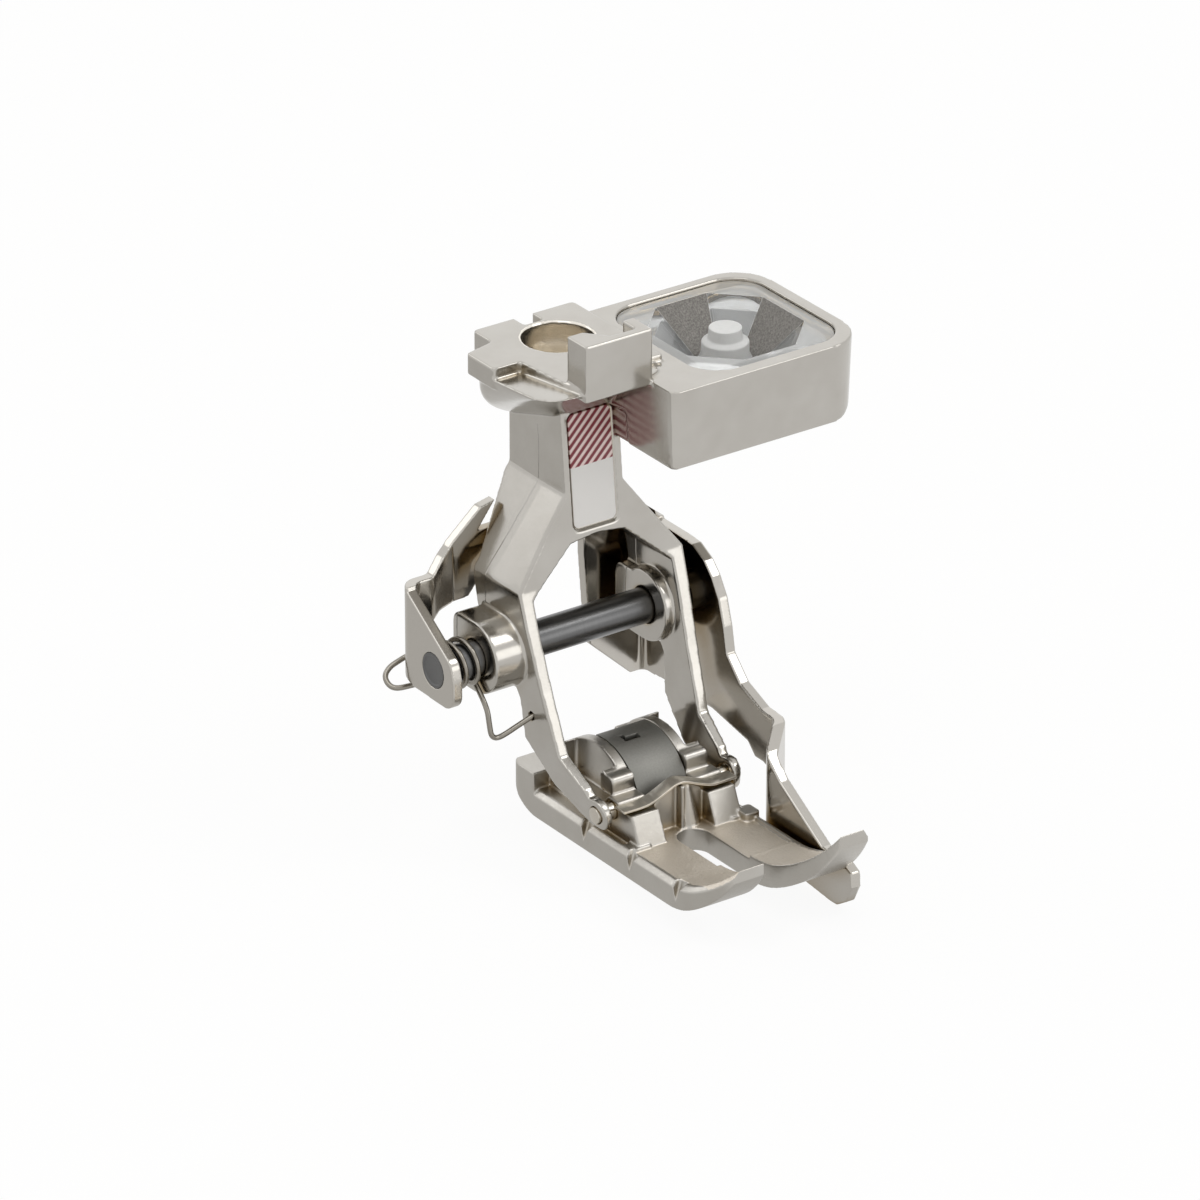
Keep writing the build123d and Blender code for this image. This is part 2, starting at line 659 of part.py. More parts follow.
# Sole: two side views give the left and the right half their own toe
with BuildPart() as sole:
    with BuildSketch(Plane.YZ.offset(-seam_width)):
        with BuildLine():
            Line((sole_back - 4, sole_bottom), (toe_rise_start, sole_bottom))
            TangentArc((toe_rise_start, sole_bottom), (left_toe_front, left_toe_z), tangent=(-1, 0))
            Line((left_toe_front, left_toe_z), (left_toe_front, left_toe_z + left_toe_tip))
            TangentArc((toe_top_start, sole_top), (left_toe_front, left_toe_z + left_toe_tip), tangent=(-1, 0))
            Line((toe_top_start, sole_top), (block_front, sole_top))
            Line((block_front, sole_top), (block_front, block_top))
            Line((block_front, block_top), (sole_back - 0.3, block_top))
            Line((sole_back - 0.3, block_top), (sole_back, block_top - 0.5))
            TangentArc((sole_back - 4, sole_bottom), (sole_back, block_top - 0.5), tangent=(1, 0))
        make_face()
    extrude(amount=seam_width)
    with BuildSketch(Plane.YZ):
        with BuildLine():
            Line((sole_back - 4, sole_bottom), (toe_rise_start, sole_bottom))
            TangentArc((toe_rise_start, sole_bottom), (right_toe_front, right_toe_z), tangent=(-1, 0))
            Line((right_toe_front, right_toe_z), (right_toe_front, right_toe_z + right_toe_tip))
            TangentArc((toe_top_start, sole_top), (right_toe_front, right_toe_z + right_toe_tip), tangent=(-1, 0))
            Line((toe_top_start, sole_top), (block_front, sole_top))
            Line((block_front, sole_top), (block_front, block_top))
            Line((block_front, block_top), (sole_back - 0.3, block_top))
            Line((sole_back - 0.3, block_top), (sole_back, block_top - 0.5))
            TangentArc((sole_back - 4, sole_bottom), (sole_back, block_top - 0.5), tangent=(1, 0))
        make_face()
    extrude(amount=seam_width)
    # Plan of the sole with its two toes
    with BuildSketch(Plane.XY.offset(sole_bottom - 1)):
        with BuildLine():
            Line((-seam_width, sole_back - 1.5), (-seam_width, left_toe_front + 4.5))
            Spline(
                (-seam_width, left_toe_front + 4.5),
                (-seam_width + 0.75, left_toe_front + 1.9),
                (-seam_width + 2.15, left_toe_front - 0.2),
                tangents=((0, -1), (0.9, -1)),
            )
            Line((-seam_width + 2.15, left_toe_front - 0.2), (-toe_side, left_toe_front - 0.2))
            Line((-toe_side, left_toe_front - 0.2), (-toe_side, slot_mouth))
            Line((-toe_side, slot_mouth), (toe_side, slot_mouth))
            Spline(
                (toe_side, slot_mouth),
                (toe_side + 0.5, slot_mouth - 2.6),
                (seam_width - toe_tip_width, right_toe_front - 0.2),
                tangents=((0, -1), (0.6, -1)),
            )
            Line((seam_width - toe_tip_width, right_toe_front - 0.2), (seam_width, right_toe_front - 0.2))
            Line((seam_width, right_toe_front - 0.2), (seam_width, sole_back - 1.5))
            RadiusArc((seam_width, sole_back - 1.5), (seam_width - 1.5, sole_back), -1.5)
            Line((seam_width - 1.5, sole_back), (-seam_width + 1.5, sole_back))
            RadiusArc((-seam_width + 1.5, sole_back), (-seam_width, sole_back - 1.5), -1.5)
        make_face()
    extrude(amount=12, mode=Mode.INTERSECT)
    # Chamfer along both top edges between the block and the toe
    side_edges = sole.edges().filter_by(Axis.Y).filter_by(
        lambda e: abs(e.center().Z - sole_top) < 0.01 and abs(abs(e.center().X) - seam_width) < 0.01
    )
    chamfer(side_edges, edge_chamfer)
    # Shallow pocket in front of the lugs and the rails' inner floor behind them
    with BuildSketch(Plane.XY.offset(sole_top - pocket_depth)):
        with Locations((0, (lug_face_foot + toe_top_start) / 2)):
            Rectangle(2 * (seam_width - pocket_rim), lug_face_foot - toe_top_start)
        with Locations((0, (sole_back + lug_face_foot) / 2)):
            Rectangle(2 * (seam_width - rail_width), sole_back - lug_face_foot + 0.4)
    extrude(amount=5, mode=Mode.SUBTRACT)
    # Needle slot, open to the front
    with BuildSketch(Plane.XY.offset(sole_bottom - 1)):
        with Locations((0, -needle_reach)):
            Circle(slot_width / 2)
        with Locations((0, -needle_reach - 7.5)):
            Rectangle(slot_width, 15)
    extrude(amount=8, mode=Mode.SUBTRACT)
    # Hump behind the hinge: two walls, and blocks at the back and the front of each
    with BuildSketch(Plane.YZ.offset(-hump_half_width)) as hump_disc:
        with Locations((hump_y, hump_z)):
            Circle(hump_radius)
        with Locations((hump_y, hump_z - hump_radius / 2)):
            Rectangle(2 * hump_radius + 1, hump_radius, mode=Mode.SUBTRACT)
        with Locations((hump_y, (hump_z + pocket_floor) / 2)):
            Rectangle(2 * hump_radius, abs(hump_z - pocket_floor) + 0.02)
    extrude(amount=2 * hump_half_width)
    # Channel between the walls, with a ledge on each side for the shield
    with BuildSketch(Plane.YZ.offset(-shield_half_width - shield_gap)):
        with Locations((hump_y, hump_z)):
            Circle(hump_radius + 1)
            Circle(ledge_radius, mode=Mode.SUBTRACT)
    extrude(amount=2 * (shield_half_width + shield_gap), mode=Mode.SUBTRACT)
    with BuildSketch(Plane.YZ.offset(-shield_half_width + ledge_width)):
        with Locations((hump_y + 2, pocket_floor + hump_radius / 2 + 1)):
            Rectangle(4 * hump_radius, hump_radius + 2)
    extrude(amount=2 * (shield_half_width - ledge_width), mode=Mode.SUBTRACT)
    # Side pockets, and the gap under the front blocks
    for side in (-1, 1):
        with BuildSketch(Plane.XY.offset(shield_bottom)):
            with Locations((side * (hump_half_width + wall_half_width) / 2, hump_y - 0.3)):
                RectangleRounded(hump_half_width - wall_half_width + 0.02, 5.6, 0.35)
        extrude(amount=6, mode=Mode.SUBTRACT)
    with BuildSketch(Plane.YZ.offset(-hump_half_width - 1)):
        with Locations((hump_y - hump_radius, (hook_block_bottom + pocket_floor) / 2)):
            Rectangle(2 * (hook_gap_back - hump_y + hump_radius), hook_block_bottom - pocket_floor)
    extrude(amount=2 * hump_half_width + 2, mode=Mode.SUBTRACT)
    # Front blocks with their rounded noses
    with BuildSketch(Plane.YZ) as hook_block:
        with Locations((hook_block_front + 0.9, hook_block_bottom + 0.75)):
            Rectangle(1.8, 1.5)
        fillet(hook_block.vertices().group_by(Axis.X)[0], 0.5)
    extrude(amount=hump_half_width, both=True)
    with BuildSketch(Plane.YZ.offset(-hook_block_inner)):
        with Locations((hook_block_front + 0.9, hook_block_bottom + 0.75)):
            Rectangle(2.4, 1.6)
    extrude(amount=2 * hook_block_inner, mode=Mode.SUBTRACT)
    # Lugs that carry the hinge pins
    for side in (-1, 1):
        with BuildSketch(Plane.YZ.offset(side * lug_inner)):
            with BuildLine():
                Polyline(
                    (lug_face_foot, sole_top - pocket_depth - 0.2),
                    lug_face_top,
                    (hinge_y - 1.1, lug_face_top[1]),
                    (hinge_y - 0.7, hinge_z + 0.95),
                    (hinge_y + 0.6, hinge_z + 0.95),
                    (hinge_y + 1.6, hinge_z),
                    (hinge_y + 1.8, sole_top - pocket_depth - 0.2),
                    (lug_face_foot, sole_top - pocket_depth - 0.2),
                )
            make_face()
        extrude(amount=side * (lug_outer - lug_inner))
    # Stop on the right rail beside the lug
    with BuildSketch(Plane.XY.offset(sole_top - pocket_depth)):
        with Locations(((lug_outer + seam_width - 0.1) / 2 - 0.2, lug_face_foot)):
            RectangleRounded(seam_width - lug_outer + 0.2, 1.6, 0.3)
    extrude(amount=0.7)
    # Central boss under the leaf spring
    with BuildSketch(Plane.XY.offset(sole_top - pocket_depth - 0.2)):
        with Locations((boss_x, leaf_y)):
            RegularPolygon(boss_foot_radius, boss_sides)
    extrude(amount=leaf_crown_z - leaf_thickness / 2 - leaf_gap - sole_top + pocket_depth + 0.2 - 0.5, taper=boss_draft)
    with BuildSketch(Plane.XZ.offset(-leaf_y - web_thickness / 2)):
        with BuildLine():
            Polyline(
                (-2.3, sole_top - pocket_depth - 0.2),
                (-2.3, leaf_end_z - 0.25),
                (-1.5, leaf_crown_z - 0.62),
                (0, leaf_crown_z - leaf_thickness / 2 - leaf_gap),
                (1.0, leaf_crown_z - 0.42),
                (2.3, leaf_end_z - 0.1),
                (2.3, sole_top - pocket_depth - 0.2),
                (-2.3, sole_top - pocket_depth - 0.2),
            )
        make_face()
    extrude(amount=web_thickness)
    with BuildSketch(Plane.XY.offset(sole_top - pocket_depth - 0.2)):
        with Locations((0, leaf_y - 0.5)):
            Rectangle(web_thickness * 0.7, 1.0)
    extrude(amount=leaf_crown_z - leaf_thickness / 2 - leaf_gap - sole_top + pocket_depth + 0.2 - 0.02)
    # V notches on the left edge, one seam width apart
    add(notch_pattern.part, mode=Mode.SUBTRACT)
    # Holes for the hinge pins
    for side in (-1, 1):
        with BuildSketch(Plane.YZ.offset(side * lug_outer)):
            with Locations((hinge_y, hinge_z)):
                Circle(pin_diameter / 2)
        extrude(amount=-side * pin_seat, mode=Mode.SUBTRACT)
sole.part.label = "sole"
export_step(sole.part, "parts/sole.step")

# Feed shield, a curved grey insert between the walls of the hump
with BuildPart() as feed_shield:
    with BuildSketch(Plane.YZ.offset(-shield_half_width)):
        with Locations((hump_y, hump_z)):
            Circle(hump_radius)
            Circle(ledge_radius, mode=Mode.SUBTRACT)
        with Locations((shield_back + 10, hump_z)):
            Rectangle(20, 20, mode=Mode.SUBTRACT)
        with Locations((hump_y, shield_bottom - 5)):
            Rectangle(20, 10, mode=Mode.SUBTRACT)
    extrude(amount=2 * shield_half_width)
    with BuildSketch(Plane.XY.offset(hump_z + 3)):
        with Locations((-0.4, hump_y - 0.9)):
            Rectangle(1.5, 0.6)
        with Locations((-1.0, hump_y - 0.5)):
            Rectangle(0.4, 0.4)
    extrude(amount=4, mode=Mode.SUBTRACT)
feed_shield.part.label = "feed_shield"
export_step(feed_shield.part, "parts/feed_shield.step")

# Hinge pins, pressed into the lugs and free to turn in the arms
with BuildPart() as hinge_pins:
    for side in (-1, 1):
        with BuildSketch(Plane.YZ.offset(side * (lug_outer - pin_seat))):
            with Locations((hinge_y, hinge_z)):
                Circle(pin_diameter / 2)
        extrude(amount=side * (pin_end - lug_outer + pin_seat))
hinge_pins.part.label = "hinge_pins"
export_step(hinge_pins.part, "parts/hinge_pins.step")

# Leaf spring, a thin bowed strip across the lugs
with BuildPart() as leaf_spring:
    with BuildSketch(Plane.XZ.offset(-leaf_y - leaf_width / 2)):
        with BuildLine():
            Spline(
                (-leaf_half_span, leaf_end_z),
                (-leaf_half_span / 2, leaf_end_z + 0.12),
                (-leaf_half_span / 4, leaf_end_z + leaf_crown * 0.6),
                (0, leaf_crown_z),
                (leaf_half_span / 4, leaf_end_z + leaf_crown * 0.6),
                (leaf_half_span / 2, leaf_end_z + 0.12),
                (leaf_half_span, leaf_end_z),
                tangents=((1, 0), (1, 0)),
            )
        trace(line_width=leaf_thickness)
    extrude(amount=leaf_width)
leaf_spring.part.label = "leaf_spring"
export_step(leaf_spring.part, "parts/leaf_spring.step")
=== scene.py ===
import bpy
from math import cos, hypot, pi, radians, sin
from mathutils import Matrix, Vector


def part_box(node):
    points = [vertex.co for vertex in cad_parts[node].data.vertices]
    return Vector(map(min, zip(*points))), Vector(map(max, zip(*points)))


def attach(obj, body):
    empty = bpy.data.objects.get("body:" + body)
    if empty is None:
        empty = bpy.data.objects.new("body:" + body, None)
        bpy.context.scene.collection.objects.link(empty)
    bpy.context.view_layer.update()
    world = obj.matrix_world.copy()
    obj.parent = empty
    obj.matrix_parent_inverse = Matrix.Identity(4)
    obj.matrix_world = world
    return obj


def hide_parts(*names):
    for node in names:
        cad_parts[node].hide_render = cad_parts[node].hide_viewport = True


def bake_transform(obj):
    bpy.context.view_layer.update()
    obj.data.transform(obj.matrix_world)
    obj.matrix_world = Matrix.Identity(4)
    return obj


# Looks of a sewing machine presser foot with a sprung seam guide. Metres, on the CAD frame:
# +Z is up the presser bar, -Y is the front, +X is the machine's right.

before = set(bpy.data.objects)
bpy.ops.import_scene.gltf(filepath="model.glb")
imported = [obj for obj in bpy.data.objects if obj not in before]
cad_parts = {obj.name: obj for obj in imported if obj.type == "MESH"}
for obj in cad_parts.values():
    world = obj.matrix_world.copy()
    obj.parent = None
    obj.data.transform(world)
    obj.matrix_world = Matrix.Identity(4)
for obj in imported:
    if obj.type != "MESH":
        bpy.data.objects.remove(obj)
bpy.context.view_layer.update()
mm = 0.001

# A Mix node's colour sockets, by number because its other data types share their names
colour_a, colour_b, mixed_colour = 6, 7, 2


# Small helpers for colours, nodes and selections


def linear(code):
    """The linear colour of an sRGB hex value."""
    channels = [int(code[i:i + 2], 16) / 255 for i in (1, 3, 5)]
    return tuple(c / 12.92 if c <= 0.04045 else ((c + 0.055) / 1.055) ** 2.4 for c in channels) + (1.0,)


def add_node(tree, kind, settings=None, links=None):
    """Add one node, set its properties and sockets, and link its inputs."""
    node = tree.nodes.new(kind)
    for name, value in (settings or {}).items():
        if isinstance(name, int) or name in node.inputs:
            node.inputs[name].default_value = value
        else:
            setattr(node, name, value)
    for socket, source in (links or {}).items():
        tree.links.new(source, node.inputs[socket])
    return node


def new_material(name, settings):
    """A node material with a Principled shader that has these settings."""
    material = bpy.data.materials.new(name)
    material.use_nodes = True
    shader = material.node_tree.nodes["Principled BSDF"]
    for socket, value in settings.items():
        shader.inputs[socket].default_value = value
    return material, material.node_tree, shader


def select_only(piece):
    """Make one piece the selected and active one."""
    bpy.ops.object.select_all(action="DESELECT")
    piece.select_set(True)
    bpy.context.view_layer.objects.active = piece


def select_faces(piece, test):
    """Select the faces of a piece that pass a test, in face mode."""
    bpy.context.tool_settings.mesh_select_mode = (False, False, True)
    select_only(piece)
    bpy.ops.object.mode_set(mode="EDIT")
    bpy.ops.mesh.select_all(action="DESELECT")
    bpy.ops.object.mode_set(mode="OBJECT")
    for face in piece.data.polygons:
        face.select = test(face)


def coat(piece, material):
    """Give a piece one material all over."""
    piece.data.materials.clear()
    piece.data.materials.append(material)


def soften_edges(piece, width, segments=2, angle=30, finish=-1):
    """Round a piece's sharp edges and shade it smooth between them.

    The rounded edges take the material in the slot that finish names, or their neighbours' if it is -1.
    """
    select_only(piece)
    bpy.ops.object.modifier_add(type="BEVEL")
    bevel = piece.modifiers[-1]
    bevel.width = width
    bevel.segments = segments
    bevel.limit_method = "ANGLE"
    bevel.angle_limit = radians(angle)
    bevel.use_clamp_overlap = True
    bevel.material = finish
    bpy.ops.object.modifier_apply(modifier=bevel.name)
    bpy.ops.object.shade_smooth_by_angle(angle=radians(angle + 6))


def round_like_a_casting(piece, voxel, passes, keep):
    """Remesh a closed piece finely and relax it, so that its edges and inner corners get small radii."""
    select_only(piece)
    bpy.ops.object.modifier_add(type="REMESH")
    skin = piece.modifiers[-1]
    skin.mode = "VOXEL"
    skin.voxel_size = voxel
    bpy.ops.object.modifier_apply(modifier=skin.name)
    bpy.ops.object.modifier_add(type="SMOOTH")
    relax = piece.modifiers[-1]
    relax.factor = 0.5
    relax.iterations = passes
    bpy.ops.object.modifier_apply(modifier=relax.name)
    bpy.ops.object.modifier_add(type="DECIMATE")
    thin = piece.modifiers[-1]
    thin.ratio = keep
    bpy.ops.object.modifier_apply(modifier=thin.name)
    bpy.ops.object.shade_smooth()


def worked_copy(node, name):
    """A copy of a CAD node with its triangles merged into whole faces."""
    piece = bpy.data.objects.new(name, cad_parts[node].data.copy())
    bpy.context.scene.collection.objects.link(piece)
    select_only(piece)
    bpy.ops.mesh.customdata_custom_splitnormals_clear()
    bpy.ops.object.mode_set(mode="EDIT")
    bpy.ops.mesh.select_all(action="SELECT")
    bpy.ops.mesh.remove_doubles(threshold=0.002 * mm)
    bpy.ops.mesh.dissolve_limited(angle_limit=radians(0.8))
    bpy.ops.object.mode_set(mode="OBJECT")
    return piece


# Materials


def plated_casting(name, plate_codes, gloss_range, skin, parting=None):
    """Nickel on a zinc die casting: silver with a soft satin gloss and a faint grain, browner in recesses as
    painted shade.

    The grain is as deep as skin. Where parting gives a Y and a top height, a hair-thin ridge is left below
    that height, where the two halves of the die met.
    """
    material, tree, shader = new_material(name, {"Metallic": 1.0, "Roughness": 0.3})
    place = add_node(tree, "ShaderNodeTexCoord").outputs["Object"]
    # Cast skin of about 0.25 mm grain, drawn a little coarser than the real 0.1 mm so that it shows
    grain = add_node(tree, "ShaderNodeTexNoise", {"Scale": 4000, "Detail": 3}, {"Vector": place})
    cloud = add_node(tree, "ShaderNodeTexNoise", {"Scale": 350, "Detail": 2}, {"Vector": place})
    plate = add_node(
        tree, "ShaderNodeMix",
        {"data_type": "RGBA", colour_a: linear(plate_codes[0]), colour_b: linear(plate_codes[1])},
        {"Factor": cloud.outputs["Fac"]},
    )
    # Painted shade: where nearby surfaces close a spot in, the ambient occlusion mixes the plate towards a
    # dark brown
    recess = add_node(tree, "ShaderNodeAmbientOcclusion", {"Distance": 2.5 * mm, "samples": 8})
    depth = add_node(
        tree, "ShaderNodeMapRange", {"From Min": 0.12, "From Max": 0.72}, {"Value": recess.outputs["AO"]},
    )
    tone = add_node(
        tree, "ShaderNodeMix", {"data_type": "RGBA", colour_a: linear("#8C764A")},
        {"Factor": depth.outputs["Result"], colour_b: plate.outputs[mixed_colour]},
    )
    tree.links.new(tone.outputs[mixed_colour], shader.inputs["Base Color"])
    gloss = add_node(
        tree, "ShaderNodeMapRange", {"To Min": gloss_range[0], "To Max": gloss_range[1]},
        {"Value": grain.outputs["Fac"]},
    )
    tree.links.new(gloss.outputs["Result"], shader.inputs["Roughness"])
    surface = add_node(
        tree, "ShaderNodeBump", {"Strength": 0.35, "Distance": skin}, {"Height": grain.outputs["Fac"]},
    )
    if parting:
        parting_y, parting_top = parting
        # A ridge 0.16 mm wide, wandering by about 0.1 mm
        axes = add_node(tree, "ShaderNodeSeparateXYZ", {}, {"Vector": place})
        wander = add_node(
            tree, "ShaderNodeMath", {"operation": "MULTIPLY_ADD", 1: 0.4 * mm, 2: -parting_y - 0.2 * mm},
            {0: cloud.outputs["Fac"]},
        )
        across = add_node(
            tree, "ShaderNodeMath", {"operation": "ADD"}, {0: axes.outputs["Y"], 1: wander.outputs["Value"]},
        )
        off = add_node(tree, "ShaderNodeMath", {"operation": "ABSOLUTE"}, {0: across.outputs["Value"]})
        ridge = add_node(
            tree, "ShaderNodeMapRange", {"From Min": 0, "From Max": 0.08 * mm, "To Min": 1, "To Max": 0},
            {"Value": off.outputs["Value"]},
        )
        below = add_node(
            tree, "ShaderNodeMath", {"operation": "LESS_THAN", 1: parting_top}, {0: axes.outputs["Z"]},
        )
        kept = add_node(
            tree, "ShaderNodeMath", {"operation": "MULTIPLY"},
            {0: ridge.outputs["Result"], 1: below.outputs["Value"]},
        )
        surface = add_node(
            tree, "ShaderNodeBump", {"Strength": 0.5, "Distance": 0.06 * mm},
            {"Height": kept.outputs["Value"], "Normal": surface.outputs["Normal"]},
        )
    tree.links.new(surface.outputs["Normal"], shader.inputs["Normal"])
    return material


def bore_plate_reamed_and_painted_light():
    """Nickel in the reamed bore and on its rim, with fine rings round the wall from the reamer; its bright,
    warm tones are painted light, far lighter than the casting's, which brighten the shaded bore and make a
    bright ring of its rim.
    """
    material, tree, shader = new_material("nickel_plated_reamed_bore", {"Metallic": 1.0, "Roughness": 0.18})
    place = add_node(tree, "ShaderNodeTexCoord").outputs["Object"]
    # Rings about 0.17 mm apart, coarser than the real ones so that they show
    squash = add_node(tree, "ShaderNodeMapping", {"Scale": (500, 500, 6000)}, {"Vector": place})
    rings = add_node(
        tree, "ShaderNodeTexNoise", {"Scale": 1.0, "Detail": 2}, {"Vector": squash.outputs["Vector"]},
    )
    # Painted light: both tones are far lighter than the casting's plate, brightening the bore's shade and the
    # rim into a bright ring
    tone = add_node(
        tree, "ShaderNodeMix",
        {"data_type": "RGBA", colour_a: linear("#F3EFE7"), colour_b: linear("#DDD6CA")},
        {"Factor": rings.outputs["Fac"]},
    )
    tree.links.new(tone.outputs[mixed_colour], shader.inputs["Base Color"])
    return material


def plated_sheet():
    """Nickel on pressed steel sheet: the same warm silver as the casting, smoother and a little brighter,
    browner in recesses as painted shade.
    """
    material, tree, shader = new_material("nickel_plated_pressed_steel", {"Metallic": 1.0, "Roughness": 0.22})
    place = add_node(tree, "ShaderNodeTexCoord").outputs["Object"]
    grain = add_node(tree, "ShaderNodeTexNoise", {"Scale": 2500, "Detail": 2}, {"Vector": place})
    # Painted shade: where nearby surfaces close a spot in, the ambient occlusion mixes the plate towards a
    # dark brown
    recess = add_node(tree, "ShaderNodeAmbientOcclusion", {"Distance": 2.5 * mm, "samples": 8})
    depth = add_node(
        tree, "ShaderNodeMapRange", {"From Min": 0.2, "From Max": 0.8}, {"Value": recess.outputs["AO"]},
    )
    tone = add_node(
        tree, "ShaderNodeMix",
        {"data_type": "RGBA", colour_a: linear("#80693E"), colour_b: linear("#BAB6AF")},
        {"Factor": depth.outputs["Result"]},
    )
    tree.links.new(tone.outputs[mixed_colour], shader.inputs["Base Color"])
    gloss = add_node(
        tree, "ShaderNodeMapRange", {"To Min": 0.1, "To Max": 0.2}, {"Value": grain.outputs["Fac"]},
    )
    tree.links.new(gloss.outputs["Result"], shader.inputs["Roughness"])
    return material


def ground_steel(name, code, roughness):
    """Ground steel: this grey, with fine rings a fifth darker round the bar from the grinding wheel."""
    material, tree, shader = new_material(name, {"Metallic": 1.0, "Roughness": roughness})
    place = add_node(tree, "ShaderNodeTexCoord").outputs["Object"]
    # Rings about 0.12 mm apart, coarser than the real ones so that they show
    squash = add_node(tree, "ShaderNodeMapping", {"Scale": (8000, 400, 400)}, {"Vector": place})
    rings = add_node(
        tree, "ShaderNodeTexNoise", {"Scale": 1.0, "Detail": 2}, {"Vector": squash.outputs["Vector"]},
    )
    grey = linear(code)
    ring_grey = tuple(0.8 * c for c in grey[:3]) + (1.0,)
    tone = add_node(
        tree, "ShaderNodeMix", {"data_type": "RGBA", colour_a: grey, colour_b: ring_grey},
        {"Factor": rings.outputs["Fac"]},
    )
    tree.links.new(tone.outputs[mixed_colour], shader.inputs["Base Color"])
    bump = add_node(
        tree, "ShaderNodeBump", {"Strength": 0.1, "Distance": 0.01 * mm}, {"Height": rings.outputs["Fac"]},
    )
    tree.links.new(bump.outputs["Normal"], shader.inputs["Normal"])
    return material


def clear_acrylic(name, clearness):
    """Moulded acrylic, clear with a milky tinge where light gathers in its edge, and faint waviness."""
    material, tree, shader = new_material(
        name, {"Roughness": 0.06, "IOR": 1.49, "Transmission Weight": clearness},
    )
    place = add_node(tree, "ShaderNodeTexCoord").outputs["Object"]
    wave = add_node(tree, "ShaderNodeTexNoise", {"Scale": 600, "Detail": 1}, {"Vector": place})
    tone = add_node(
        tree, "ShaderNodeMix",
        {"data_type": "RGBA", colour_a: linear("#FAFBFB"), colour_b: linear("#F3F5F5")},
        {"Factor": wave.outputs["Fac"]},
    )
    tree.links.new(tone.outputs[mixed_colour], shader.inputs["Base Color"])
    return material


def scored_acrylic():
    """Acrylic facets with a fine scored texture, coloured dark grey as painted shade for the dark that clear
    facets show.
    """
    material, tree, shader = new_material(
        "scored_acrylic_facets", {"Roughness": 0.4, "IOR": 1.49, "Metallic": 0.25},
    )
    place = add_node(tree, "ShaderNodeTexCoord").outputs["Object"]
    # Score marks about 0.1 mm apart, running down the slopes
    run = add_node(tree, "ShaderNodeMapping", {"Scale": (9000, 9000, 1500)}, {"Vector": place})
    marks = add_node(
        tree, "ShaderNodeTexNoise", {"Scale": 1.0, "Detail": 4, "Roughness": 0.7},
        {"Vector": run.outputs["Vector"]},
    )
    spread = add_node(
        tree, "ShaderNodeMapRange", {"From Min": 0.35, "From Max": 0.65}, {"Value": marks.outputs["Fac"]},
    )
    # Painted shade: these dark greys stand in for the dark the facets show, not a colour of the acrylic
    tone = add_node(
        tree, "ShaderNodeMix",
        {"data_type": "RGBA", colour_a: linear("#595652"), colour_b: linear("#8F8C87")},
        {"Factor": spread.outputs["Result"]},
    )
    tree.links.new(tone.outputs[mixed_colour], shader.inputs["Base Color"])
    bump = add_node(
        tree, "ShaderNodeBump", {"Strength": 0.4, "Distance": 0.05 * mm}, {"Height": marks.outputs["Fac"]},
    )
    tree.links.new(bump.outputs["Normal"], shader.inputs["Normal"])
    return material


def frosted_acrylic():
    """Acrylic with a frosted skin, which looks white and slightly see-through."""
    material, tree, shader = new_material(
        "frosted_acrylic", {"Roughness": 0.4, "IOR": 1.49, "Transmission Weight": 0.15},
    )
    place = add_node(tree, "ShaderNodeTexCoord").outputs["Object"]
    frost = add_node(tree, "ShaderNodeTexNoise", {"Scale": 2500, "Detail": 3}, {"Vector": place})
    tone = add_node(
        tree, "ShaderNodeMix",
        {"data_type": "RGBA", colour_a: linear("#FCFDFD"), colour_b: linear("#EFF1F1")},
        {"Factor": frost.outputs["Fac"]},
    )
    tree.links.new(tone.outputs[mixed_colour], shader.inputs["Base Color"])
    return material


def striped_foil():
    """Printed foil label: pinkish white with slanting dark red stripes above, and plain white below."""
    material, tree, shader = new_material("printed_label_foil", {"Roughness": 0.35})
    place = add_node(tree, "ShaderNodeTexCoord").outputs["Object"]
    pitch = 0.57 * mm
    rise = radians(43)
    stripes_foot = -9.35 * mm
    along = add_node(
        tree, "ShaderNodeVectorMath",
        {"operation": "DOT_PRODUCT", 1: (-sin(rise) / pitch, 0, cos(rise) / pitch)},
        {0: place},
    )
    band = add_node(tree, "ShaderNodeMath", {"operation": "FRACT"}, {0: along.outputs["Value"]})
    edge = add_node(
        tree, "ShaderNodeMapRange", {"From Min": 0.44, "From Max": 0.52}, {"Value": band.outputs["Value"]},
    )
    height = add_node(tree, "ShaderNodeSeparateXYZ", {}, {"Vector": place})
    upper = add_node(
        tree, "ShaderNodeMapRange", {"From Min": stripes_foot, "From Max": stripes_foot + 0.05 * mm},
        {"Value": height.outputs["Z"]},
    )
    both = add_node(
        tree, "ShaderNodeMath", {"operation": "MULTIPLY"},
        {0: edge.outputs["Result"], 1: upper.outputs["Result"]},
    )
    paper = add_node(
        tree, "ShaderNodeMix",
        {"data_type": "RGBA", colour_a: linear("#F3F2F1"), colour_b: linear("#F8E2E0")},
        {"Factor": upper.outputs["Result"]},
    )
    ink = add_node(
        tree, "ShaderNodeMix", {"data_type": "RGBA", colour_b: linear("#86303A")},
        {"Factor": both.outputs["Value"], colour_a: paper.outputs[mixed_colour]},
    )
    tree.links.new(ink.outputs[mixed_colour], shader.inputs["Base Color"])
    return material


def satin_steel():
    """Bead-blasted steel insert: even mid grey with a soft satin sheen."""
    material, tree, shader = new_material("bead_blasted_steel", {"Metallic": 1.0, "Roughness": 0.5})
    place = add_node(tree, "ShaderNodeTexCoord").outputs["Object"]
    beads = add_node(tree, "ShaderNodeTexNoise", {"Scale": 6000, "Detail": 2}, {"Vector": place})
    tone = add_node(
        tree, "ShaderNodeMix",
        {"data_type": "RGBA", colour_a: linear("#8A8984"), colour_b: linear("#7A7974")},
        {"Factor": beads.outputs["Fac"]},
    )
    tree.links.new(tone.outputs[mixed_colour], shader.inputs["Base Color"])
    return material


